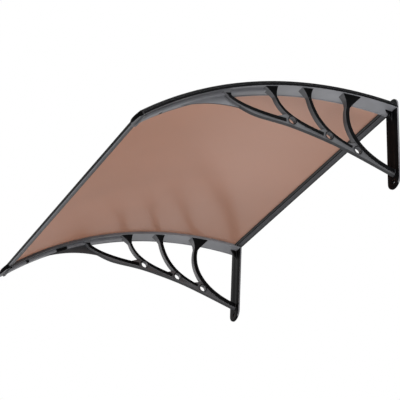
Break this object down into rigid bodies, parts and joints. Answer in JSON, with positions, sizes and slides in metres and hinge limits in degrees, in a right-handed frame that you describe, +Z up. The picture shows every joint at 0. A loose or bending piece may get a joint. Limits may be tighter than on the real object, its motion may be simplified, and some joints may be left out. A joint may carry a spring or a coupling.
{
  "type": "door awning",
  "caption": "Wall-fixed door canopy: a curved brown translucent sheet on black moulded fan brackets, with dark edge rails.",
  "frame": {"origin": "middle of the wall seal's back face, on the wall plane", "axes": "+X along the wall, +Y into the wall, +Z up"},
  "size_m": [1, 0.8118, 0.3659],
  "materials": {
    "bracket_plastic": "black, satin moulded",
    "strip_plastic": "black, satin",
    "sheet_polycarbonate": "brown, translucent, fine lines",
    "rail_aluminium": "dark anodised",
    "seal_rubber": "black, matt",
    "screw_steel": "plain",
    "pin_plastic": "black"
  },
  "bodies": {
    "root": {"bracket_left": "bracket_plastic", "bracket_right": "bracket_plastic", "cover_strip_left": "strip_plastic", "cover_strip_right": "strip_plastic", "roof_sheet": "sheet_polycarbonate", "rear_rail": "rail_aluminium", "front_rail": "rail_aluminium", "rear_gasket": "seal_rubber", "front_gasket": "seal_rubber", "wall_seal": "seal_rubber", "nose_pin_left": "pin_plastic", "nose_pin_right": "pin_plastic", "cover_screw_left_1": "screw_steel", "cover_screw_left_2": "screw_steel", "cover_screw_left_3": "screw_steel", "cover_screw_left_4": "screw_steel", "cover_screw_left_5": "screw_steel", "cover_screw_left_6": "screw_steel", "cover_screw_right_1": "screw_steel", "cover_screw_right_2": "screw_steel", "cover_screw_right_3": "screw_steel", "cover_screw_right_4": "screw_steel", "cover_screw_right_5": "screw_steel", "cover_screw_right_6": "screw_steel"}
  },
  "joints": []
}
